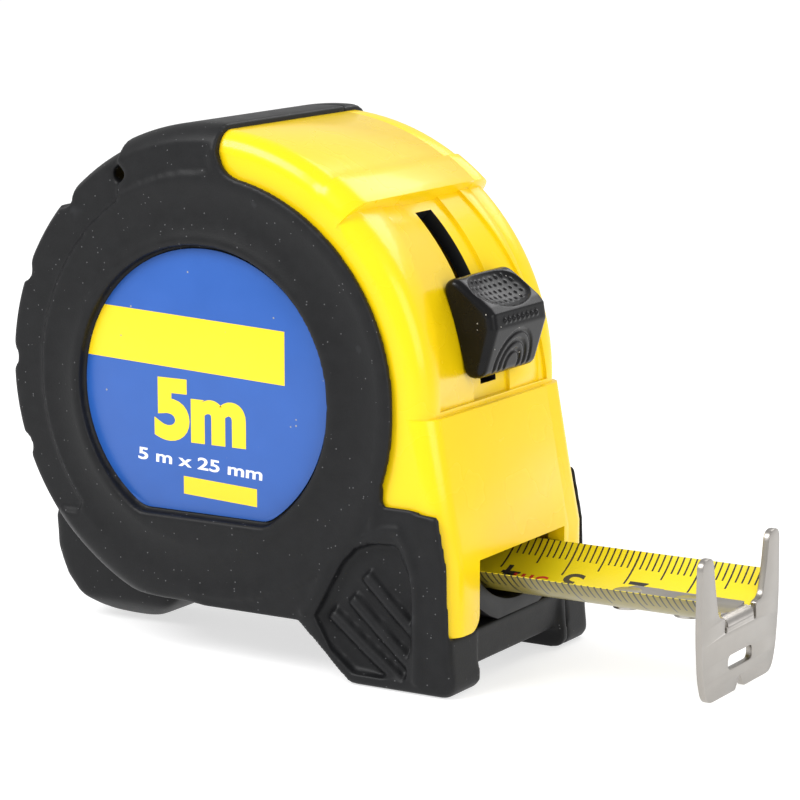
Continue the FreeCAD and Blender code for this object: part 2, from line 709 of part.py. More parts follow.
def make_rivets():
    tongue_top = blade_low + c.blade_thick + c.hook_thick + 0.25
    pieces = []
    for number, x in enumerate(rivets):
        shank = pin("shank%d" % number, c.rivet_radius, (blade_low - 0.2, tongue_top + 0.3), x)
        top = pin("top_head%d" % number, c.rivet_head, (tongue_top, tongue_top + 0.6), x)
        low = pin("low_head%d" % number, c.rivet_head, (blade_low - 0.42, blade_low - 0.02), x)
        pieces.append(fuse("rivet%d" % number, shank, top, low))
    group = doc.addObject("Part::Compound", "rivet_group")
    group.Links = pieces
    finish(group, "hook_rivets")


def make_hook():
    edge = -c.blade_drop
    tip, foot, seat = edge + c.hook_above, edge - c.hook_below, edge - 3.3
    prong = c.hook_half - c.prong_width
    right = [
        (prong + 0.9, tip - 0.2), (c.hook_half - 1.4, tip), (c.hook_half - 0.7, tip - 1.2),
        (c.hook_half, edge), (c.hook_half, edge - 5), (c.hook_half - 0.9, foot + 4),
        (c.hook_half - 1.9, foot + 1.6), (c.hook_half - 4, foot), (1.5, foot), (0, foot + 1.9)]
    left = [(-y, z) for y, z in reversed(right[:-1])]
    window = [(-prong, tip - 1.4), (-prong + 1.3, edge), (-prong + 1.8, seat),
              (prong - 1.8, seat), (prong - 1.3, edge), (prong, tip - 1.4)]
    plate = prism("hook_plate", right + left + window, (hook_inner, hook_outer), FRONT)
    slot_z = edge - 10
    through = (hook_inner - 1, far * 2)
    nail = fuse("nail_slot", block("nail_middle", through, (-2.9, 2.9), (slot_z - 1, slot_z + 1)),
                rod("nail_end0", 1, through, -2.9, slot_z), rod("nail_end1", 1, through, 2.9, slot_z))
    under = c.blade_curve - c.blade_thick - 0.06
    back = hook_inner - c.tongue_length
    leaf = trough("leaf", under, c.hook_thick, 16, (back, hook_inner + c.hook_thick / 2))
    neck = block("leaf_neck", (back + 3, far * 2), (-c.tongue_half, c.tongue_half), (-far, far))
    end = c.tongue_half + 0.7
    plan = fuse("leaf_plan", neck, pin("leaf_end", end, (-far, 0), back + end))
    tongue = common("tongue", leaf, plan)
    slots = [block("play_slot%d" % n, (x - c.hook_play - c.rivet_radius - 0.25, x + c.rivet_radius + 0.25),
                   (-c.rivet_radius - 0.2, c.rivet_radius + 0.2), (-far, 0)) for n, x in enumerate(rivets)]
    finish(cut("hook_solid", fuse("hook_sum", plate, tongue), nail, *slots), "end_hook")


# ---------------------------------------------------------------- lock

def make_lock():
    seat = c.front_radius - c.track_depth
    profile = [(c.button_low, -1), (c.button_low, c.button_foot), (c.crest_low, c.button_rise - 0.2),
               (c.crest_high, c.button_rise), (c.button_high, c.button_head), (c.button_high, -1)]
    cap = prism("cap", [((seat + rise) * cosine(angle), (seat + rise) * sine(angle))
                        for angle, rise in profile], (-c.button_half, c.button_half))
    stem = sector("stem", c.arm_outer, c.front_radius, c.button_low + 3, c.button_high - 0.5,
                  c.slot_half - c.fit_gap)
    hollow_cap = cut("cap_hollow", cap, disc("cap_seat", seat + c.slide_gap, full))
    finish(fuse("button_solid", hollow_cap, stem), "lock_button")
    arm = sector("arm", c.arm_outer - c.arm_thick, c.arm_outer, c.arm_low, c.button_high, c.arm_half)
    shoe_x = (c.arm_outer - c.arm_thick / 2) * cosine(c.arm_low) - 1.6
    pad_top = blade_low + 1.7
    shoe = block("shoe", (shoe_x, shoe_x + 3.2), (-4, 4), (pad_top, -20.5))
    finish(fuse("arm_solid", arm, shoe), "lock_arm")
    rubber = block("pad_block", (shoe_x, shoe_x + 3.2), (-3.6, 3.6), (pad_top - 1.2, pad_top))
    hollow = rod("pad_curve", c.blade_curve - c.blade_thick - c.fit_gap, (0, far), z=blade_centre)
    finish(common("pad_solid", rubber, hollow), "brake_pad")


def make_wear_strip():
    finish(block("wear", (14, c.mouth_reach - 8), (-5, 5), (c.floor_z, c.floor_z + 0.3)), "wear_strip")


# ---------------------------------------------------------------- clip and fasteners

def screw(name, seat, tip, x=0, z=0):
    """A pan-head screw along Y with a cross recess; seat is under its head."""
    head = seat + 1.6
    body = turned(name, [(0, tip), (c.screw_shank - 0.5, tip), (c.screw_shank - 0.25, tip + 1.2),
                         (c.screw_shank - 0.25, seat), (c.screw_head, seat), (c.screw_head, head - 0.5),
                         (c.screw_head - 0.6, head), (0, head)])
    for number, (wide, high) in enumerate(((1.5, 0.3), (0.3, 1.5))):
        pocketed(body, "%s_recess%d" % (name, number), "XZ_Plane",
                 [(-wide, -high), (wide, -high), (wide, high), (-wide, high)], 0.9, -head, True)
    return place(body, x, 0, z)


def make_screws():
    group = doc.addObject("Part::Compound", "screw_group")
    group.Links = at_post(lambda n, x, z: screw("case_screw%d" % n, side_half, c.seam_y - 9, x, z))
    finish(group, "case_screws")
    finish(screw("clip_screw_body", boss_reach + c.clip_thick, reel_half - 1), "clip_screw")


def make_clip():
    near, thick = boss_reach, c.clip_thick
    away = clip_face - thick
    corners = [
        (near, -8), (near, c.clip_top - 1.6), (near + 1.1, c.clip_top), (clip_face - 1.1, c.clip_top),
        (clip_face, c.clip_top - 1.6), (clip_face - 0.9, c.clip_low + 3), (clip_face, c.clip_low),
        (away, c.clip_low), (away - 0.9, c.clip_low + 3), (away, c.clip_top - 1.9),
        (away - 0.6, c.clip_top - thick), (near + thick + 0.6, c.clip_top - thick),
        (near + thick, c.clip_top - 1.9), (near + thick, -8)]
    body = doc.addObject("PartDesign::Body", "clip_body")
    sketch = sketch_in(body, "YZ_Plane", "clip_section", corners)
    pad = body.newObject("PartDesign::Pad", "clip_pad")
    pad.Profile = sketch
    pad.Midplane = True
    bind(pad, "Length", c.clip_half * 2)
    doc.recompute()
    hole = disc("clip_bore", c.screw_shank + 0.1, (0, near + thick + 0.5))
    access = disc("clip_access", c.screw_head + 1, (near + thick + 0.5, far))
    finish(cut("clip_solid", body, hole, access), "belt_clip")


for make in (make_case_body, make_case_cover, make_grips, make_bumper, make_label, make_arbor, make_drum,
             make_reel_cover, make_power_spring, make_spring_link, make_coil, make_liners, make_blade,
             make_rivets, make_hook, make_lock, make_wear_strip, make_screws, make_clip):
    make()

# ---------------------------------------------------------------- check and write

doc.recompute()
for thing in doc.Objects:
    assert not {"Invalid", "Error"} & set(thing.State), "%s failed: %s" % (thing.Label, thing.State)
os.makedirs("parts", exist_ok=True)
for node in nodes:
    shape = node.Shape
    assert not shape.isNull() and shape.isValid() and shape.Solids, node.Label + " is not a valid solid"
    shape.exportStep("parts/%s.step" % node.Label)
    print("%-14s %d solid(s) %9.1f mm3" % (node.Label, len(shape.Solids), shape.Volume))
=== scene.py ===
# %% [markdown]
# A pocket tape measure, in looks only.  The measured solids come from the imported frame, and
# this script dresses them: a yellow moulded case, soft rubber over it, a printed label, a
# thumb lock, and a curved blade with a pronged hook.  Everything is in metres, in the
# frame's own place, but the sizes below are written in millimetres about the reel's axis,
# because that is how a maker would measure the thing.

# %% Load the frame and find the reel's axis
import json
import math

import bpy
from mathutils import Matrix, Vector


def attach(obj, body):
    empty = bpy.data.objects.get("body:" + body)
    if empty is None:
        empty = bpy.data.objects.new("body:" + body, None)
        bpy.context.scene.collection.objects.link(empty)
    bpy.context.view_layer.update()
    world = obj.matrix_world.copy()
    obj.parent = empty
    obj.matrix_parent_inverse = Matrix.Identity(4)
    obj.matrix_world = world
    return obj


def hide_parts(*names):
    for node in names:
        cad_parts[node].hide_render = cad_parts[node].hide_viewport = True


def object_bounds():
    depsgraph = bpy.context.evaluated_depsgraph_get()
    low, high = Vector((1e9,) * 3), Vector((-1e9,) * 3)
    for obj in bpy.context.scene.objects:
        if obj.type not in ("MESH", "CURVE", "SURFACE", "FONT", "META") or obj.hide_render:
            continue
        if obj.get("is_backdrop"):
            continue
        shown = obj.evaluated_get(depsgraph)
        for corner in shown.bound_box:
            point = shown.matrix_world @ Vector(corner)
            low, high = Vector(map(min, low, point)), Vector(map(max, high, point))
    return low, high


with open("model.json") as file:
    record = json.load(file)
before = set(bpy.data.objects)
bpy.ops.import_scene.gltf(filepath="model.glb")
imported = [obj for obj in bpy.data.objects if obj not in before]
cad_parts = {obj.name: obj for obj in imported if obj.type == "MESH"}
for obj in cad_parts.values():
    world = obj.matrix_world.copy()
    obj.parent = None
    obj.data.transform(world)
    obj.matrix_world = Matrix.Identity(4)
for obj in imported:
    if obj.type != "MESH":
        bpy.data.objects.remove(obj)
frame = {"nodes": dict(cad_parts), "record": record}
nodes = frame["nodes"]
cad_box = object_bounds()
MM = 0.001
spin_joint = next(joint for joint in frame["record"]["behaviour"]["joints"] if joint["name"] == "reel_spin")
reel = Vector(spin_joint["pos_m"])
print("reel axis at", [round(value, 5) for value in reel])


def at(x, y, z):
    """A point given in millimetres about the reel's axis."""
    return reel + Vector((x, y, z)) * MM


def polar(radius, angle, y=0.0):
    """A point at a radius and an angle above the level, round the reel."""
    return at(radius * math.cos(math.radians(angle)), y, radius * math.sin(math.radians(angle)))


# %% [markdown]
# Blender's tools work on whatever is selected.  A few small helpers keep that under
# control: one thing alone is selected, a modifier is added and applied at once, several
# shapes become one, and a shape's place is moved into its mesh so that its object stays at
# the origin.

# %% Helpers for shaping
def alone(*things):
    """Select these objects and nothing else; the first is the active one."""
    bpy.ops.object.select_all(action="DESELECT")
    for thing in things:
        thing.select_set(True)
    bpy.context.view_layer.objects.active = things[0]
    return things[0]


def fresh(primitive, **settings):
    """Add a primitive while nothing else is selected."""
    bpy.ops.object.select_all(action="DESELECT")
    primitive(**settings)
    return bpy.context.object


def fix(thing):
    """Move an object's place, turn and size into its mesh."""
    alone(thing)
    bpy.ops.object.transform_apply(location=True, rotation=True, scale=True)
    return thing


def in_mesh(thing, *steps):
    """Run edit-mode steps on the whole mesh; a step is an operator and its settings."""
    alone(thing)
    bpy.ops.object.mode_set(mode="EDIT")
    for operator, settings in steps:
        bpy.ops.mesh.select_all(action="SELECT")
        operator(**settings)
    bpy.ops.object.mode_set(mode="OBJECT")
    return thing


def apply_modifier(thing, kind, **settings):
    """Add a modifier, set it, apply it."""
    alone(thing)
    modifier = thing.modifiers.new(kind.lower(), kind)
    for key, value in settings.items():
        setattr(modifier, key, value)
    bpy.ops.object.modifier_apply(modifier=modifier.name)
    return thing


def carve(thing, *tools):
    """Cut tools out of a mesh and throw them away."""
    for tool in tools:
        apply_modifier(thing, "BOOLEAN", operation="DIFFERENCE", object=tool, solver="EXACT")
        bpy.data.objects.remove(tool)
    return thing


def joined(*things):
    """Make several meshes one; the first gives its name."""
    alone(*things)
    bpy.ops.object.join()
    return things[0]


def outward(thing):
    """Merge doubles and point every face outwards."""
    return in_mesh(thing, (bpy.ops.mesh.remove_doubles, {"threshold": 1e-7}),
                   (bpy.ops.mesh.normals_make_consistent, {"inside": False}))


def melted(thing, voxel):
    """Turn overlapping shapes into one skin of voxels."""
    return apply_modifier(thing, "REMESH", mode="VOXEL", voxel_size=voxel * MM)


def softened(thing, rounds, faces):
    """Smooth a skin's edges, then thin it to a number of triangles."""
    apply_modifier(thing, "SMOOTH", factor=0.5, iterations=rounds)
    triangles = sum(len(face.vertices) - 2 for face in thing.data.polygons)
    if triangles > faces:
        apply_modifier(thing, "DECIMATE", ratio=faces / triangles)
    alone(thing)
    bpy.ops.object.shade_smooth()
    return thing


def smoothed(thing, angle):
    """Shade smooth wherever faces meet at less than an angle in degrees."""
    alone(thing)
    bpy.ops.object.shade_smooth_by_angle(angle=math.radians(angle))
    return thing


def copy_of(node, name):
    """A CAD piece's mesh as a piece of its own, with its loose triangles merged."""
    twin = nodes[node].copy()
    twin.data = nodes[node].data.copy()
    twin.name = twin.data.name = name
    twin.parent = None
    bpy.context.scene.collection.objects.link(twin)
    twin.data.materials.clear()
    alone(twin)
    bpy.ops.mesh.customdata_custom_splitnormals_clear()
    return in_mesh(twin, (bpy.ops.mesh.remove_doubles, {"threshold": 1e-6}))


def disc(radius, y, x=0.0, z=0.0, sides=128):
    """A cylinder across the case, from y[0] to y[1]."""
    return fix(fresh(bpy.ops.mesh.primitive_cylinder_add, vertices=sides, radius=radius * MM,
                     depth=(y[1] - y[0]) * MM, location=at(x, (y[0] + y[1]) / 2, z),
                     rotation=(math.pi / 2, 0, 0)))


def extruded(corners, depth):
    """A closed outline of points as one face, pushed a depth in millimetres across the case."""
    thing = fresh(bpy.ops.mesh.primitive_circle_add, vertices=len(corners), radius=MM, fill_type="NGON")
    for vertex, corner in zip(thing.data.vertices, corners):
        vertex.co = corner
    push = {"TRANSFORM_OT_translate": {"value": (0, depth * MM, 0)}}
    in_mesh(thing, (bpy.ops.mesh.extrude_region_move, push))
    return outward(thing)


def turned(corner, steps, angle, center, axis):
    """A rectangle spun about an axis; corner gives its points from (far in X, far in Y)."""
    thing = fresh(bpy.ops.mesh.primitive_plane_add, size=1)
    for vertex in thing.data.vertices:
        vertex.co = corner(vertex.co.x > 0, vertex.co.y > 0)
    in_mesh(thing, (bpy.ops.mesh.spin, {"steps": steps, "angle": angle, "center": center, "axis": axis}))
    return outward(thing)


print("one millimetre is", MM, "Blender units")


# %% [markdown]
# Handing a piece over always takes the same steps: it gets its material, rides on the body
# that moves it, and the CAD pieces that it stands for are hidden.

# %% Hand a piece over to the frame
def present(piece, name, body, materials, stands_for=()):
    """Name a piece, dress it, hang it on the body that moves it, and hide the CAD pieces it stands for."""
    piece.name = piece.data.name = name
    if materials:
        piece.data.materials.clear()
        for material in materials:
            piece.data.materials.append(material)
    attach(piece, body)
    for node in stands_for:
        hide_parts(node)
    triangles = sum(len(face.vertices) - 2 for face in piece.data.polygons)
    print(f"{name}: {triangles} triangles on {body}")
    return piece


# %% [markdown]
# Three effects turn up on nearly every finish here, so each is a node group with its own
# dials: a moulded grain that makes fine relief, dust that settles as tiny specks, and
# handling that polishes or scuffs the standing edges.  A group only gives masks and
# heights; the shader itself stays in each material.

# %% Node groups: grain, dust, handling
def new_group(name, inputs, outputs):
    """An empty node group with (name, default) inputs and named outputs."""
    group = bpy.data.node_groups.new(name, "ShaderNodeTree")
    for label, default in inputs:
        socket = group.interface.new_socket(label, in_out="INPUT", socket_type="NodeSocketFloat")
        socket.default_value = default
    for label in outputs:
        group.interface.new_socket(label, in_out="OUTPUT", socket_type="NodeSocketFloat")
    return group, group.nodes.new("NodeGroupInput"), group.nodes.new("NodeGroupOutput")


def add(tree, kind, **settings):
    """A node with its settings."""
    node = tree.nodes.new(kind)
    for key, value in settings.items():
        setattr(node, key, value)
    return node


def wire(tree, source, node, socket):
    """Feed a socket from another socket, or set it to a number."""
    if isinstance(source, bpy.types.NodeSocket):
        tree.links.new(source, node.inputs[socket])
    elif source is not None:
        node.inputs[socket].default_value = source


def maths(tree, operation, first, second=None, third=None):
    """One Math node; each input is a number or a socket."""
    node = add(tree, "ShaderNodeMath", operation=operation)
    for socket, source in enumerate((first, second, third)):
        wire(tree, source, node, socket)
    return node.outputs[0]


def noise(tree, coordinates, scale, detail):
    """A noise of nothing to one at these coordinates."""
    node = add(tree, "ShaderNodeTexNoise")
    tree.links.new(coordinates, node.inputs["Vector"])
    wire(tree, scale, node, "Scale")
    wire(tree, detail, node, "Detail")
    return node.outputs["Fac"]


def make_grain():
    """Relief of spark-eroded mould steel: two sizes of noise laid over each other."""
    group, given, out = new_group("moulded_grain", [("Scale", 3000), ("Depth", 1)], ["Height", "Shade"])
    place = add(group, "ShaderNodeTexCoord").outputs["Object"]
    fine = noise(group, place, given.outputs["Scale"], 2)
    broad = noise(group, place, maths(group, "MULTIPLY", given.outputs["Scale"], 0.12), 2)
    both = maths(group, "MULTIPLY_ADD", broad, 0.6, fine)
    wire(group, maths(group, "MULTIPLY", both, given.outputs["Depth"]), out, "Height")
    wire(group, broad, out, "Shade")
    return group


def make_dust():
    """Tiny separate specks: the cores of Voronoi cells, thinned out by a slow noise."""
    group, given, out = new_group("dust_specks", [("Scale", 900), ("Amount", 0.3)], ["Mask"])
    place = add(group, "ShaderNodeTexCoord").outputs["Object"]
    cells = add(group, "ShaderNodeTexVoronoi")
    group.links.new(place, cells.inputs["Vector"])
    wire(group, given.outputs["Scale"], cells, "Scale")
    core = maths(group, "LESS_THAN", cells.outputs["Distance"], 0.16)
    separate = add(group, "ShaderNodeSeparateColor")
    group.links.new(cells.outputs["Color"], separate.inputs[0])
    some = maths(group, "LESS_THAN", separate.outputs[0], given.outputs["Amount"])
    wire(group, maths(group, "MULTIPLY", core, some), out, "Mask")
    return group


def make_handling():
    """Standing edges, found by how sharply the surface turns, broken up by a noise."""
    group, given, out = new_group("handled_edges", [("Reach", 0.53), ("Amount", 0.5)], ["Mask"])
    edge = maths(group, "SUBTRACT", add(group, "ShaderNodeNewGeometry").outputs["Pointiness"],
                  given.outputs["Reach"])
    sharp = maths(group, "MULTIPLY", edge, 12)
    place = add(group, "ShaderNodeTexCoord").outputs["Object"]
    patchy = maths(group, "MULTIPLY", noise(group, place, 420, 3), given.outputs["Amount"])
    mask = add(group, "ShaderNodeClamp")
    wire(group, maths(group, "MULTIPLY", sharp, patchy), mask, 0)
    wire(group, mask.outputs[0], out, "Mask")
    return group


GRAIN, DUST, HANDLING = make_grain(), make_dust(), make_handling()
print("groups:", GRAIN.name, DUST.name, HANDLING.name)


# %% [markdown]
# A finish starts from one Principled shader.  Its steady numbers sit on the shader's own
# sockets; the colour and roughness are tinted by the groups' masks, and the relief goes
# through a Bump node.

# %% A finish from the three effects
def tinted(tree, base, other, mask):
    """One colour where the mask is nothing, another where it is full."""
    mix = add(tree, "ShaderNodeMix", data_type="RGBA")
    tree.links.new(mask, mix.inputs[0])
    for socket, colour in ((6, base), (7, other)):
        if isinstance(colour, bpy.types.NodeSocket):
            tree.links.new(colour, mix.inputs[socket])
        else:
            mix.inputs[socket].default_value = (*colour, 1)
    return mix.outputs[2]


def finish_of(name, colour, rough, metal=0.0, coat=0.0, grain=(3000, 0.1), relief=0.02, dust=(900, 0.0),
              dust_colour=(0.3, 0.29, 0.27), worn=(0.53, 0.0), worn_colour=None, spread=0.12,
              shine=0.5, pattern=None):
    """A material; grain is (scale, depth), dust (scale, amount), worn (reach, amount)."""
    material = bpy.data.materials.new(name)
    material.use_nodes = True
    tree = material.node_tree
    shader = tree.nodes["Principled BSDF"]
    shader.inputs["Metallic"].default_value = metal
    shader.inputs["Coat Weight"].default_value = coat
    shader.inputs["Coat Roughness"].default_value = 0.06
    shader.inputs["Specular IOR Level"].default_value = shine
    groups = []
    for group, values in ((GRAIN, grain), (DUST, dust), (HANDLING, worn)):
        node = add(tree, "ShaderNodeGroup", node_tree=group)
        node.inputs[0].default_value, node.inputs[1].default_value = values
        groups.append(node)
    shade = groups[0].outputs["Shade"]
    paler = [min(1, value * (1 + spread) + 0.004) for value in colour]
    darker = [value * (1 - spread) for value in colour]
    mixed = tinted(tree, darker, paler, shade)
    if worn_colour:
        mixed = tinted(tree, mixed, worn_colour, groups[2].outputs["Mask"])
    if pattern:
        mixed = pattern(tree, mixed)
    mixed = tinted(tree, mixed, dust_colour, groups[1].outputs["Mask"])
    tree.links.new(mixed, shader.inputs["Base Color"])
    dull = maths(tree, "MULTIPLY_ADD", shade, rough * 0.3, rough * 0.85)
    tree.links.new(dull, shader.inputs["Roughness"])
    bump = add(tree, "ShaderNodeBump")
    bump.inputs["Strength"].default_value = 0.35
    bump.inputs["Distance"].default_value = relief * MM
    tree.links.new(groups[0].outputs["Height"], bump.inputs["Height"])
    tree.links.new(bump.outputs[0], shader.inputs["Normal"])
    return material


# %% [markdown]
# The finishes, one by one.  The case is dyed-through ABS from a polished mould, so it is
# bright and glossy.  The rubber is a thermoplastic elastomer: matt, nearly black, and it
# holds pale dust.  The metal parts differ mostly in how rough their plating is.

# %% Finishes of the tape measure
YELLOW = (0.91, 0.625, 0.001)
case_yellow = finish_of("case_yellow", YELLOW, 0.27, coat=0.12, shine=0.3, grain=(900, 0.5), relief=0.01,
                        spread=0.03)
soft_rubber = finish_of("soft_rubber", (0.0055, 0.0057, 0.0065), 0.47, shine=0.22,
                        grain=(3800, 1), relief=0.05, dust=(1500, 0.16),
                        dust_colour=(0.09, 0.09, 0.093), spread=0.25,
                        worn=(0.52, 0.5), worn_colour=(0.03, 0.031, 0.034))
lock_black = finish_of("lock_black", (0.0028, 0.0028, 0.0034), 0.24, shine=0.17,
                       grain=(2500, 0.6), relief=0.01, dust=(1500, 0.03),
                       worn=(0.52, 0.4), worn_colour=(0.02, 0.02, 0.022))
inner_black = finish_of("inner_black", (0.008, 0.0085, 0.01), 0.45, shine=0.3, grain=(2500, 1),
                        dust=(900, 0.05))
hook_nickel = finish_of("hook_nickel", (0.36, 0.34, 0.315), 0.36, metal=1.0, grain=(1500, 0.8), relief=0.012,
                        spread=0.08, worn=(0.52, 0.5), worn_colour=(0.6, 0.57, 0.54))
rivet_nickel = finish_of("rivet_nickel", (0.45, 0.43, 0.4), 0.3, metal=1.0, grain=(2000, 0.8), spread=0.1)
spring_blue = finish_of("spring_blue", (0.3, 0.32, 0.36), 0.3, metal=1.0, grain=(600, 0.6), spread=0.15)
clip_chrome = finish_of("clip_chrome", (0.66, 0.66, 0.68), 0.18, metal=1.0, grain=(700, 0.4), relief=0.01,
                        spread=0.05, worn=(0.52, 0.4), worn_colour=(0.85, 0.85, 0.86))
screw_zinc = finish_of("screw_zinc", (0.5, 0.5, 0.52), 0.32, metal=1.0, grain=(1800, 0.8), spread=0.12)
liner_white = finish_of("liner_white", (0.78, 0.78, 0.75), 0.45, grain=(1200, 0.5))
fibre_brown = finish_of("fibre_brown", (0.42, 0.16, 0.035), 0.6, grain=(1600, 1.5), relief=0.06, spread=0.3)
brake_black = finish_of("brake_black", (0.02, 0.02, 0.02), 0.7, grain=(2600, 1.2), relief=0.05)
print("finishes:", len(bpy.data.materials))

# %% [markdown]
# Real mouldings and stampings have no knife edges.  A piece that keeps its measured shape
# is therefore copied, every sharp edge of the copy gets a narrow bevel, and the faces
# between are shaded smooth by angle.  The yellow shells and the small parts use this.

# %% Eased edges
def eased(piece, width, angle=32.0):
    """Narrow rounded edges, then smooth faces between them."""
    apply_modifier(piece, "BEVEL", width=width * MM, segments=2, limit_method="ANGLE",
                   angle_limit=math.radians(angle), use_clamp_overlap=True, harden_normals=False)
    return smoothed(piece, angle)


print("edges sharper than", eased.__defaults__[0], "degrees get a bevel")


# %% [markdown]
# The rubber is moulded over the shells.  Its soft edges are hard to get with bevels, because
# so many shapes meet, so it is melted instead: the measured solid, less a shallow dish in
# each round face and a sunk panel on each foot, is joined to the raised ribs, and a voxel
# remesh turns all of it into one skin that a few rounds of smoothing make soft.  The ribs
# are round bars along a few points of the side view, which a bevelled curve gives at once.

# %% Raised ribs of a front foot
def bar(corners, radius, y):
    """A round bar through points of the side view, in millimetres."""
    curve = bpy.data.curves.new("bar", "CURVE")
    curve.dimensions = "3D"
    curve.bevel_depth = radius * MM
    curve.bevel_resolution = 3
    curve.use_fill_caps = True
    line = curve.splines.new("POLY")
    line.points.add(len(corners) - 1)
    for point, (x, z) in zip(line.points, corners):
        point.co = (*at(x, y, z), 1)
    thing = bpy.data.objects.new("bar", curve)
    bpy.context.scene.collection.objects.link(thing)
    alone(thing)
    bpy.ops.object.convert(target="MESH")
    return outward(bpy.context.object)


RIDGES = [[(29.2, -10.6), (28.9, -14), (28.4, -17.5), (25.6, -18.1), (23.6, -18.9), (21.8, -21.5),
           (20.3, -24.6), (18.8, -27.4), (16.9, -29.9)],
          [(28.4, -17.5), (30.6, -16.4), (32.6, -16.2), (34.2, -18.4), (35.3, -22), (35.7, -26),
           (35.8, -30.5), (35.8, -37.6)]]
RIBS = [[(27.0, -23.4), (31, -27.2), (35.1, -30.8)], [(24.8, -27.0), (30, -31.6), (35.1, -36.1)],
        [(21.5, -29.5), (27.5, -34.2), (33.3, -38.4)]]
PANEL_OUTLINE = [(28.4, -18.6), (25.6, -19.6), (23.2, -22.2), (18.8, -30.2), (21.4, -34.6),
                 (25.2, -37.6), (33.8, -37.8), (35.0, -30), (34.6, -23), (32.4, -18.4)]
PANEL_MIDDLE = (28.5, -28.3)


def wider(outline, share):
    """The outline, scaled about the panel's middle."""
    return [tuple(middle + (value - middle) * share for value, middle in zip(corner, PANEL_MIDDLE))
            for corner in outline]


def plate(corners, y):
    """A flat plate with a many-cornered outline of the side view, from y[0] to y[1]."""
    return extruded([at(x, y[0], z) for x, z in corners], y[1] - y[0])


print("ridges:", len(RIDGES), "ribs:", len(RIBS))

# %% [markdown]
# Both sides are made by one function.  What lies under the round face is cut back by plates
# less a disc, a large torus presses the dish into the face, and a backing closes what the
# sunk panel would open.  The heel is smoothed more than the rest, by a vertex group.

# %% The rubber, side by side
SIDE_FACE = 21.0          # outer face of the rubber, from the middle
SUNK = 0.5                # how far the rest of the side lies under the round face
LUGS_SUNK = 1.3           # and the belt of lugs down the back
PANEL_FLOOR = 18.9        # floor of the foot's panel, from the middle
PANEL_ROOM = 17.7         # what the case gives up for it, under the rubber
DISH_RING = 26.2          # middle of the dish in the round face, from the reel's axis
DISH_CURVE = 10.4         # radius of its hollow
DISH_DEPTH = 0.75         # and its depth
BAR = 0.95                # radius of the ridges and ribs
HEEL_TOP, HEEL_FADE = -22, 4       # the heel starts below this, and fades in over this far
PAST = 30                 # reach of a cutter, well past both sides


def across(side, near, away):
    """A (low, high) pair across the case on one side; side is -1 or 1."""
    return tuple(sorted((side * near, side * away)))


def rubber(node, name, side):
    """One side's rubber, melted from the measured solid and its ridges."""
    piece = copy_of(node, name)
    lower = plate([(2, 45), (-45, 45), (-45, -45), (45, -45), (45, -10), (30, -7.4), (20, -12), (2, -12)],
                  across(side, SIDE_FACE - SUNK, SIDE_FACE + 2))
    carve(lower, disc(30.6, (-PAST, PAST), 1.6, 1.0))
    lugs = plate([(-14, 45), (-45, 45), (-45, -20), (-22, -20), (-14, 0)],
                 across(side, SIDE_FACE - LUGS_SUNK, SIDE_FACE + 2))
    carve(lugs, disc(30.4, (-PAST, PAST), 2.2, 1.0))
    panel = plate(PANEL_OUTLINE, across(side, PANEL_FLOOR, SIDE_FACE))
    dish = fix(fresh(bpy.ops.mesh.primitive_torus_add, major_radius=DISH_RING * MM,
                     minor_radius=DISH_CURVE * MM, major_segments=160, minor_segments=72,
                     location=at(0, side * (SIDE_FACE + DISH_CURVE - DISH_DEPTH), 0),
                     rotation=(math.pi / 2, 0, 0)))
    carve(piece, lower, lugs, panel, dish)
    backing = plate(wider(PANEL_OUTLINE, 1.1), across(side, PANEL_ROOM + 0.1, SIDE_FACE - SUNK - 0.2))
    carve(backing, plate(PANEL_OUTLINE, across(side, PANEL_FLOOR, SIDE_FACE + 1)))
    rim = disc(22.2, across(side, SIDE_FACE - 3.2, SIDE_FACE - 1.72))
    carve(rim, disc(16.8, (-PAST, PAST)))
    parts = [bar(line, BAR, side * (SIDE_FACE - BAR - 0.02)) for line in RIDGES]
    parts += [bar(line, BAR, side * (PANEL_FLOOR + 0.45)) for line in RIBS]
    joined(piece, backing, rim, *parts)
    melted(piece, 0.4 if side < 0 else 0.45)
    heel = piece.vertex_groups.new(name="heel")
    for vertex in piece.data.vertices:
        x, z = (vertex.co.x - reel.x) / MM, (vertex.co.z - reel.z) / MM
        if x < 0 and z < HEEL_TOP:
            share = min(1, (HEEL_TOP - z) / HEEL_FADE) * min(1, -x / HEEL_FADE)
            heel.add([vertex.index], share, "REPLACE")
    apply_modifier(piece, "SMOOTH", factor=0.5, iterations=60, vertex_group="heel")
    softened(piece, 3, 150000)
    present(piece, name, "case", [soft_rubber], [node])


# %% [markdown]
# The panels are deeper than the rubber over the case is thick, so each yellow shell gives
# up a pocket for them, under the rubber, before its edges are eased.
# The slot that the lock runs in looks black from the side, because its walls are in shadow
# against the black slide; that shadow is painted: its walls below the lip take the dark inner finish as
# painted shade.

# %% Yellow shells, then the rubber over them
SLOT_HALF, SLOT_LIP = 2.2, 35.3            # half its width, and the radius where its lip starts
SLOT_INSIDE, SLOT_ENDS = 30, (2.5, 46.5)   # its inner radius, and its ends in degrees
for node, side in (("case_body", -1), ("case_cover", 1)):
    pocket = plate(wider(PANEL_OUTLINE, 1.12), across(side, PANEL_ROOM, SIDE_FACE))
    shell = carve(copy_of(node, node), pocket)
    present(eased(shell, 0.22), "yellow_" + node, "case", [case_yellow, inner_black], [node])
    painted_shade_faces = 0
    for face in shell.data.polygons:
        spot = (face.center - reel) / MM
        radius, angle = math.hypot(spot.x, spot.z), math.degrees(math.atan2(spot.z, spot.x))
        between_walls = abs(spot.y) < SLOT_HALF + 0.05 and SLOT_INSIDE < radius < SLOT_LIP
        if between_walls and SLOT_ENDS[0] < angle < SLOT_ENDS[1]:
            # Painted shade: the slot's walls below the lip take the dark inner finish in place of their
            # shadow.
            face.material_index = 1
            painted_shade_faces += 1
    print(node, "faces inside the slot:", painted_shade_faces)
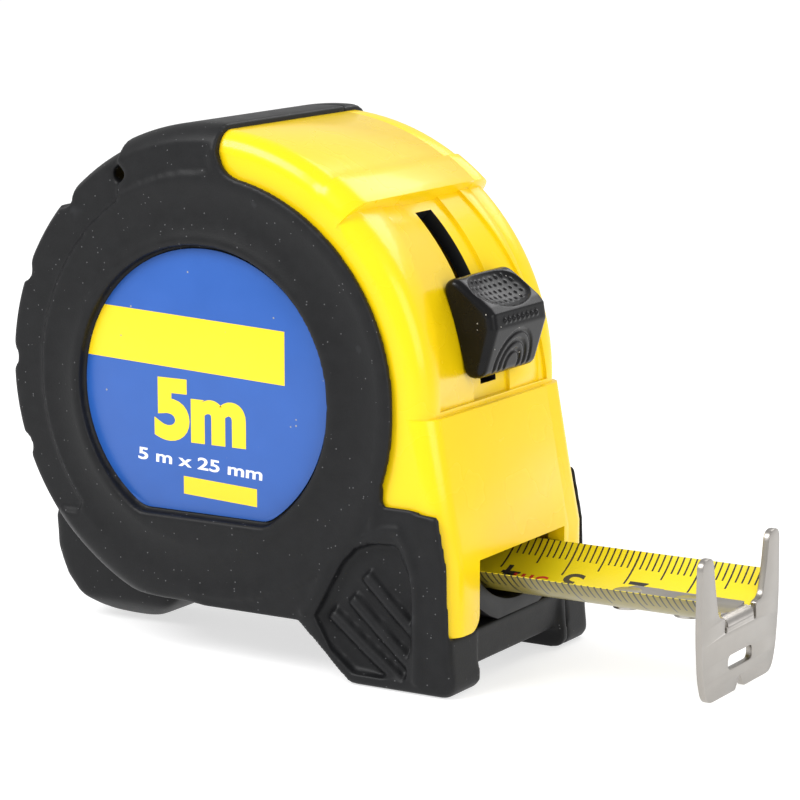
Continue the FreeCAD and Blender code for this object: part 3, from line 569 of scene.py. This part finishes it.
rubber("grip_left", "rubber_near_side", -1)
rubber("grip_right", "rubber_far_side", 1)

# %% [markdown]
# The label is a printed vinyl disc with one flat edge.  The blue field and the two pale
# bands are a pattern of the material, read from its place on the disc, while the size is
# set in real letters, a hair thick, so that they stay sharp from close by.

# %% Lettering as thin mesh
def lettering(words, width, height, thick=0.03, heavy=0.0):
    """Words as a thin flat mesh in the XY plane about its middle, sized in millimetres."""
    text = fresh(bpy.ops.object.text_add)
    text.data.body = words
    text.data.offset = heavy
    text.data.resolution_u = 6
    text.data.extrude = 0.5
    bpy.ops.object.convert(target="MESH")
    mesh = bpy.context.object
    low = [min(vertex.co[axis] for vertex in mesh.data.vertices) for axis in range(3)]
    high = [max(vertex.co[axis] for vertex in mesh.data.vertices) for axis in range(3)]
    wanted = (width, height, thick)
    for vertex in mesh.data.vertices:
        for axis in range(3):
            middle = (low[axis] + high[axis]) / 2
            vertex.co[axis] = (vertex.co[axis] - middle) / (high[axis] - low[axis]) * wanted[axis] * MM
    return outward(mesh)


print("letters are", lettering.__defaults__[0], "mm thick")

# %% [markdown]
# The bands are worked out from X and Z on the disc, so no image is needed, and the plain
# bars stand where a maker would print its own name.

# %% The label
DOWNHILL = 0.047          # slope of the print, from left to right


def label_print(tree, blue):
    """Yellow bands across the left of the disc and a small yellow box under the size."""
    place = add(tree, "ShaderNodeSeparateXYZ")
    tree.links.new(add(tree, "ShaderNodeTexCoord").outputs["Object"], place.inputs[0])
    x = maths(tree, "MULTIPLY", maths(tree, "SUBTRACT", place.outputs["X"], reel.x), 1 / MM)
    z = maths(tree, "MULTIPLY", maths(tree, "SUBTRACT", place.outputs["Z"], reel.z), 1 / MM)
    level = maths(tree, "MULTIPLY_ADD", x, DOWNHILL, z)

    def between(value, low, high):
        return maths(tree, "MULTIPLY", maths(tree, "GREATER_THAN", value, low),
                      maths(tree, "LESS_THAN", value, high))

    band = maths(tree, "MULTIPLY", between(level, 2.9, 10.6), maths(tree, "LESS_THAN", x, 13.7))
    small = maths(tree, "MULTIPLY", between(level, -15.3, -12.7), between(x, -3.7, 8.9))
    return tinted(tree, blue, (0.93, 0.66, 0.01), maths(tree, "MAXIMUM", band, small))


label_blue = finish_of("label_blue", (0.018, 0.098, 0.40), 0.3, grain=(1400, 0.5), relief=0.01, spread=0.08,
                       dust=(1100, 0.03), pattern=label_print)
print_yellow = finish_of("print_yellow", (0.93, 0.68, 0.01), 0.35, spread=0.04)
print_white = finish_of("print_white", (0.86, 0.87, 0.9), 0.4, spread=0.04)
label = eased(copy_of("label_left", "label"), 0.08)
label.data.materials.append(label_blue)
LABEL_FACE = -19.6        # outer face of the label, from the middle
for words, width, height, x, z, material, heavy in (
        ("5m", 15.8, 9.2, -0.8, -3.0, print_yellow, 0.05),
        ("5 m x 25 mm", 21.5, 1.8, -0.9, -10.4, print_white, 0.02)):
    letters = lettering(words, width, height, heavy=heavy)
    letters.rotation_euler = (math.pi / 2, DOWNHILL if words != "5m" else 0.0, 0)
    letters.location = at(x, LABEL_FACE, z)
    fix(letters)
    letters.data.materials.append(material)
    joined(label, letters)
present(label, "label_disc", "case", None, ["label_left"])

# %% [markdown]
# The thumb lock is a glossy black cap on a stem that runs in the case's slot.  The cap is
# its side profile, given in degrees round the reel and millimetres over the track, pushed
# across the case and bevelled.  An ellipsoid scoops the thumb rest and thin tori cut the
# arcs of the lower panel.  Only the stem is spun, because it follows the slot's curve.

# %% Cap and stem of the thumb lock
CAP_LOW, CAP_HIGH, CAP_HALF, CAP_SEAT = 5.4, 27.4, 7.9, 36.22     # degrees, degrees, mm, mm
CAP_PROFILE = [(CAP_LOW, 0), (CAP_LOW, 2.8), (14.5, 6.0), (17.6, 6.3), (19.2, 5.8),
               (22.5, 4.3), (25.6, 3.0), (CAP_HIGH, 2.3), (CAP_HIGH, 0)]


def ball(radii, spot, tilt=0.0, segments=48, rings=24, radius=MM):
    """An ellipsoid; its first radius points away from the reel's axis."""
    thing = fresh(bpy.ops.mesh.primitive_uv_sphere_add, segments=segments, ring_count=rings, radius=radius,
                  location=spot, rotation=(0, -math.radians(tilt), 0))
    thing.scale = radii
    return fix(thing)


def on_cap(angle, rise, y=0.0):
    """A point at a height over the track."""
    return polar(CAP_SEAT + rise, angle, y)


cap = extruded([on_cap(angle, rise, -CAP_HALF) for angle, rise in CAP_PROFILE], 2 * CAP_HALF)
apply_modifier(cap, "BEVEL", width=1.6 * MM, segments=6, limit_method="ANGLE", angle_limit=math.radians(50))
REST_ANGLE, REST_RISE, REST_TILT = 23.0, 4.25, 51.0   # thumb rest: place, and which way it faces
REST = (1.3, 7.3, 3.9)                              # its depth and half-sizes in mm
carve(cap, ball(REST, on_cap(REST_ANGLE, REST_RISE), REST_TILT))
for ring in (2.0, 3.5, 5.0):
    carve(cap, fix(fresh(bpy.ops.mesh.primitive_torus_add, major_radius=ring * MM, minor_radius=0.45 * MM,
                         major_segments=64, minor_segments=12, location=on_cap(CAP_LOW + 1.6, 3.45),
                         rotation=(0, math.radians(90 + 16.5), 0))))
STEM_IN, STEM_OUT, STEM_HALF = 32.2, 36.6, 1.9      # its radii and half its width
STEM_LOW, STEM_HIGH = CAP_LOW + 3, CAP_HIGH - 0.5   # its ends in degrees
stem = turned(lambda far_x, far_y: polar(STEM_OUT if far_x else STEM_IN, STEM_HIGH,
                                         STEM_HALF if far_y else -STEM_HALF),
              24, math.radians(STEM_LOW - STEM_HIGH), reel, (0, 1, 0))
print("cap:", len(cap.data.polygons), "faces; stem:", len(stem.data.polygons))

# %% [markdown]
# The dots of the thumb rest stand on its hollow floor, in rows, and one more row runs along
# the crest.  The remesh then melts cap, stem and dots into one soft-edged moulding.

# %% Grip dots, and the cap's soft skin
def dot(radius, spot):
    """A small round grip dot."""
    return ball((1, 1, 1), spot, segments=12, rings=8, radius=radius * MM)


def in_rest(across_mm, along_mm):
    """A point on the floor of the thumb rest."""
    left = 1 - (across_mm / REST[1]) ** 2 - (along_mm / REST[2]) ** 2
    turn = math.radians(REST_TILT)
    outward_way = Vector((math.cos(turn), 0, math.sin(turn)))
    along_way = Vector((-math.sin(turn), 0, math.cos(turn)))
    deep = -REST[0] * math.sqrt(max(0.0, left))
    return on_cap(REST_ANGLE, REST_RISE, across_mm) + (outward_way * deep + along_way * along_mm) * MM


ACROSS, ALONG = 1.4, 1.1                            # pitch of the dots in mm
dots = [dot(0.24, in_rest(y * ACROSS, z * ALONG)) for z in range(-2, 3) for y in range(-4, 5)
        if (y * ACROSS / REST[1]) ** 2 + (z * ALONG / REST[2]) ** 2 < 0.75]
dots += [dot(0.36, on_cap(16.0, 6.15, -4.6 + 1.3 * number)) for number in range(8)]
print("grip dots:", len(dots))
joined(cap, stem, *dots)
softened(melted(cap, 0.15), 2, 90000)
present(cap, "thumb_lock", "lock", [lock_black], ["lock_button"])

# %% [markdown]
# The hook is stamped from one sheet: two prongs above the blade, a plate below it with a
# slot for a nail, and a tongue that is bent back along the hollow of the blade.  The plate
# is drawn as a flat curve, because a filled curve takes holes and rounded corners easily,
# and the bend is a short spun strip.

# %% Outline of the hook's plate
HOOK_INNER, HOOK_OUTER, BLADE_EDGE = 74.5, 75.5, -22.95


def rounded_corners(corners, steps=5):
    """Points of a closed outline whose corners (y, z, radius) are rounded off."""
    points = []
    for number, (y, z, radius) in enumerate(corners):
        here = Vector((y, z))
        before = Vector(corners[number - 1][:2]) - here
        after = Vector(corners[(number + 1) % len(corners)][:2]) - here
        reach = min(radius, before.length * 0.48, after.length * 0.48)
        start, end = here + before.normalized() * reach, here + after.normalized() * reach
        for step in range(steps + 1):
            share = step / steps
            points.append(start.lerp(here, share).lerp(here.lerp(end, share), share))
    return points


half_outline = [
    (1.45, -37.35, 0.3), (10.4, -37.35, 2.4), (11.8, -34.0, 3), (12.6, -27.5, 5), (12.45, -21.5, 3),
    (12.35, -16.95, 1.9), (9.0, -16.95, 1.9), (8.5, -20.6, 4), (7.1, -25.9, 1.6), (5.1, -26.3, 0.3),
    (5.1, -28.5, 0.3), (4.3, -28.5, 0.3), (4.3, -27.8, 0.1)]
outline = rounded_corners(half_outline + [(-y, z, r) for y, z, r in reversed(half_outline)]
                          + [(0.0, -35.45, 0.2)])
NAIL_Z, NAIL_HALF, NAIL_ROUND = -33.0, 3.9, 1.0     # nail slot: height, half length, half width
nail_slot = rounded_corners([(y * NAIL_HALF, NAIL_Z + z * NAIL_ROUND, NAIL_ROUND)
                             for y, z in ((-1, -1), (1, -1), (1, 1), (-1, 1))], 8)
EDGE = 0.12                                         # rounding of the plate's edges
sheet = bpy.data.curves.new("hook_plate", "CURVE")
sheet.dimensions = "2D"
sheet.fill_mode = "BOTH"
sheet.extrude = ((HOOK_OUTER - HOOK_INNER) / 2 - EDGE) * MM
sheet.bevel_depth = EDGE * MM
sheet.bevel_resolution = 1
sheet.offset = -EDGE * MM
for points in (outline, nail_slot):
    line = sheet.splines.new("POLY")
    line.points.add(len(points) - 1)
    line.use_cyclic_u = True
    for point, (y, z) in zip(line.points, points):
        point.co = (y * MM, z * MM, 0, 1)
hook = bpy.data.objects.new("hook_plate", sheet)
bpy.context.scene.collection.objects.link(hook)
alone(hook)
bpy.ops.object.convert(target="MESH")
hook = bpy.context.object
for vertex in hook.data.vertices:
    y, z, x = vertex.co
    vertex.co = reel + Vector(((HOOK_INNER + HOOK_OUTER) / 2 * MM + x, y, z))
outward(hook)
print("hook plate:", len(hook.data.polygons), "faces")

# %% [markdown]
# The tongue keeps its measured shape, because the rivets and the blade fit to it, so it is
# cut off a copy of the whole hook just behind the plate.  A quarter turn joins the two.

# %% Bend and tongue of the hook
BEND_X, BEND_Z, BEND_OUT, BEND_IN = HOOK_INNER - 0.3, -27.8, 1.3, 0.3
BEND_HALF = 4.1                                     # half its width
tongue = in_mesh(copy_of("end_hook", "hook_tongue"),
                 (bpy.ops.mesh.bisect, {"plane_co": at(BEND_X, 0, 0), "plane_no": (1, 0, 0),
                                        "use_fill": True, "clear_outer": True}))
bend = turned(lambda far_x, far_y: at(BEND_X, BEND_HALF if far_y else -BEND_HALF,
                                      BEND_Z + (BEND_OUT if far_x else BEND_IN)),
              10, -math.pi / 2, at(BEND_X, 0, BEND_Z), (0, 1, 0))
print("bend ends at x", round(max((v.co.x - reel.x) / MM for v in bend.data.vertices), 2))
smoothed(joined(hook, tongue, bend), 35)
present(hook, "pronged_hook", "hook", [hook_nickel], ["end_hook"])

# %% [markdown]
# The blade is a long strip of spring steel with a hollow that keeps it straight.  Its
# graduations are a pattern of the material: how far along the blade comes from X, and how
# far across from the angle round the hollow's axis, so the marks bend with the steel.

# %% Graduations of the blade
BLADE_R, BLADE_WIDE, BLADE_THICK, BLADE_START = 15.5, 25.0, 0.14, 20.8
HALF_ARC = BLADE_WIDE / 2 / BLADE_R
BLADE_AXIS = BLADE_R * math.cos(HALF_ARC) + BLADE_EDGE      # height of the hollow's axis
print("hollow's axis", round(BLADE_AXIS, 2), "mm from the reel's axis")


def graduations(tree, yellow):
    """Black marks at every millimetre from the hook's inner face; the back is painted a darker khaki as
    painted shade.
    """
    place = add(tree, "ShaderNodeSeparateXYZ")
    tree.links.new(add(tree, "ShaderNodeTexCoord").outputs["Object"], place.inputs[0])
    zero = reel.x + HOOK_INNER * MM
    along = maths(tree, "MULTIPLY", maths(tree, "SUBTRACT", zero, place.outputs["X"]), 1 / MM)
    y = maths(tree, "MULTIPLY", maths(tree, "SUBTRACT", place.outputs["Y"], reel.y), 1 / MM)
    down = maths(tree, "MULTIPLY", maths(tree, "SUBTRACT", reel.z + BLADE_AXIS * MM,
                                           place.outputs["Z"]), 1 / MM)
    turn = maths(tree, "ABSOLUTE", maths(tree, "ARCTAN2", y, down))
    inward = maths(tree, "MULTIPLY", maths(tree, "SUBTRACT", HALF_ARC, turn), BLADE_R)
    radius = maths(tree, "SQRT", maths(tree, "ADD", maths(tree, "MULTIPLY", y, y),
                                         maths(tree, "MULTIPLY", down, down)))
    painted_shade_back = maths(tree, "GREATER_THAN", radius, BLADE_R - 0.07)

    def marks(pitch, wide, length):
        """Lines of one length at every pitch."""
        offset = maths(tree, "ADD", along, pitch / 2)
        apart = maths(tree, "ABSOLUTE", maths(tree, "SUBTRACT", maths(tree, "MODULO", offset, pitch),
                                                pitch / 2))
        thin = maths(tree, "LESS_THAN", apart, wide / 2)
        return maths(tree, "MULTIPLY", thin, maths(tree, "LESS_THAN", inward, length))

    ink = maths(tree, "MAXIMUM", marks(1, 0.27, 3.2), marks(5, 0.28, 4.7))
    ink = maths(tree, "MAXIMUM", ink, marks(10, 0.3, 6.6))
    inside = maths(tree, "MULTIPLY", ink, maths(tree, "GREATER_THAN", along, 0.3))
    # Painted shade: the blade's convex back gets a dull khaki in place of the shade that falls on it; the
    # marks are printed on both faces.
    ground = tinted(tree, yellow, (0.24, 0.195, 0.03), painted_shade_back)
    return tinted(tree, ground, (0.02, 0.02, 0.02), inside)


blade_lacquer = finish_of("blade_lacquer", (0.80, 0.66, 0.008), 0.3, coat=0.1, grain=(500, 0.4), relief=0.01,
                          spread=0.05, pattern=graduations)
ink_black = finish_of("ink_black", (0.02, 0.02, 0.022), 0.4)
ink_red = finish_of("ink_red", (0.6, 0.03, 0.02), 0.4)

# %% [markdown]
# The strip is a thin rectangle turned about the axis of its hollow, in 64 steps, so that it
# is round enough for ink to lie on.  Each figure is flat lettering, cut into narrow strips
# and laid round the same axis; a surface trick such as Shrinkwrap would blur its edges.

# %% Figures wrapped on the hollow
def wrapped(letters, x, across_mm):
    """Cut thin letters into narrow strips and lay them in the blade's hollow."""
    alone(letters)
    bpy.ops.object.mode_set(mode="EDIT")
    for strip in range(-9, 10):
        bpy.ops.mesh.select_all(action="SELECT")
        bpy.ops.mesh.bisect(plane_co=(0, strip * 0.5 * MM, 0), plane_no=(0, 1, 0))
    bpy.ops.object.mode_set(mode="OBJECT")
    for vertex in letters.data.vertices:
        along_mm, over, thick = vertex.co / MM
        turn = (across_mm - over) / BLADE_R
        radius = BLADE_R - BLADE_THICK - 0.01 - thick
        vertex.co = at(x - along_mm, radius * math.sin(turn), BLADE_AXIS - radius * math.cos(turn))
    return outward(letters)


def blade_corner(at_hook, on_top):
    """A corner of the blade's edge, where the turn starts."""
    radius = BLADE_R - (BLADE_THICK if on_top else 0.0)
    return at(HOOK_INNER - 0.05 if at_hook else BLADE_START, -radius * math.sin(HALF_ARC),
              BLADE_AXIS - radius * math.cos(HALF_ARC))


blade = turned(blade_corner, 64, -2 * HALF_ARC, at(0, 0, BLADE_AXIS), (1, 0, 0))
blade_sides = [(vertex.co.y - reel.y) / MM for vertex in blade.data.vertices]
print("blade across:", round(min(blade_sides), 2), round(max(blade_sides), 2))
smoothed(blade, 35)
blade.data.materials.append(blade_lacquer)
figures = []
for number in range(1, 5):
    letters = lettering(str(number), 1.6 if number == 1 else 3.0, 4.6, heavy=0.01)
    wrapped(letters, HOOK_INNER - 10 * number + 2.2, 4.4)
    letters.data.materials.append(ink_black)
    figures.append(letters)
reach = lettering("5m", 5.6, 3.2, heavy=0.01)
wrapped(reach, HOOK_INNER - 34.3, 3.4)
reach.data.materials.append(ink_red)
joined(blade, *figures, reach)
present(blade, "printed_blade", "blade", None, ["blade_strip"])

# %% [markdown]
# What is left keeps its measured shape.  The pieces that can be seen get eased edges on a
# copy; the ones inside the case only get their finish, which shows when the case is opened
# up or the part is cut.

# %% Small parts with eased edges, and the insides
for node, body, slot, material, width in (
        ("hook_rivets", "blade", "rivet_steel", rivet_nickel, 0.28),
        ("case_screws", "case", "screw_steel", screw_zinc, 0.15),
        ("clip_screw", "case", "screw_steel", screw_zinc, 0.15),
        ("belt_clip", "case", "clip_steel", clip_chrome, 0.2),
        ("mouth_bumper", "case", "inner_plastic", inner_black, 0.2)):
    present(eased(copy_of(node, node), width), "eased_" + node, body, [material], [node])

for node, material in (
        ("arbor", inner_black), ("reel_drum", inner_black), ("reel_cover", inner_black),
        ("power_spring", spring_blue), ("spring_link", spring_blue), ("blade_coil", blade_lacquer),
        ("liner_left", liner_white), ("liner_right", liner_white), ("lock_arm", inner_black),
        ("brake_pad", brake_black), ("wear_strip", fibre_brown)):
    nodes[node].data.materials.clear()
    nodes[node].data.materials.append(material)
print("inside pieces dressed")

# %% [markdown]
# A pale floor, a large soft light from above the camera's left, a weaker one from the
# right, another from behind, and a bright even sky: that is how a small product is lit,
# and it keeps the shadows short and soft.

# %% Floor, lights and camera
stage_paint = finish_of("stage_paint", (0.5, 0.5, 0.5), 0.8, grain=(60, 0.3), spread=0.01)
glow = stage_paint.node_tree.nodes["Principled BSDF"].inputs
glow["Emission Color"].default_value = (1, 1, 1, 1)
glow["Emission Strength"].default_value = 0.66
floor = fresh(bpy.ops.mesh.primitive_plane_add, size=12, location=(0, 0, 0))
floor.name = "floor"
floor.data.materials.append(stage_paint)
floor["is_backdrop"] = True

world = bpy.data.worlds.new("soft_sky")
world.use_nodes = True
sky = world.node_tree
seen = sky.nodes.new("ShaderNodeLightPath").outputs["Is Camera Ray"]
wire(sky, maths(sky, "MULTIPLY_ADD", seen, 0.35, 0.65), sky.nodes["Background"], "Strength")
sky.nodes["Background"].inputs["Color"].default_value = (1, 1, 1, 1)
bpy.context.scene.world = world
bpy.context.scene.view_settings.view_transform = "Standard"


def soft_light(name, spot, size, power):
    """A square lamp that faces the reel."""
    lamp = bpy.data.lights.new(name, "AREA")
    lamp.energy, lamp.size = power, size
    thing = bpy.data.objects.new(name, lamp)
    bpy.context.scene.collection.objects.link(thing)
    thing.location = spot
    thing.rotation_euler = (Vector(spot) - reel).to_track_quat("Z", "Y").to_euler()


soft_light("key", (-0.25, -0.45, 0.55), 0.35, 4.0)
soft_light("fill", (0.6, -0.2, 0.3), 0.4, 1.6)
soft_light("back", (0.1, 0.5, 0.5), 0.4, 1.5)

AZIMUTH, ELEVATION = math.radians(30.92), math.radians(10.63)
DISTANCE = 0.4607
away = Vector((math.sin(AZIMUTH) * math.cos(ELEVATION), -math.cos(AZIMUTH) * math.cos(ELEVATION),
               math.sin(ELEVATION)))
target = at(20.84, 0, -2.21)
lens = bpy.data.cameras.new("camera")
lens.sensor_width, lens.lens, lens.clip_start = 36, 143.3, 0.01
camera = bpy.data.objects.new("camera", lens)
bpy.context.scene.collection.objects.link(camera)
camera.location = target + away * DISTANCE
camera.rotation_euler = away.to_track_quat("Z", "Y").to_euler()
bpy.context.scene.camera = camera
print("camera stands", DISTANCE, "m from its target")

# %% [markdown]
# Last, the box of what is shown is set beside the box of the measured solids, and the frame
# takes over.

# %% Sizes, and hand over
shown_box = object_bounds()
for name, corners in (("CAD", cad_box), ("visual", shown_box)):
    print(name, [[round(value / MM, 2) for value in corner] for corner in corners])
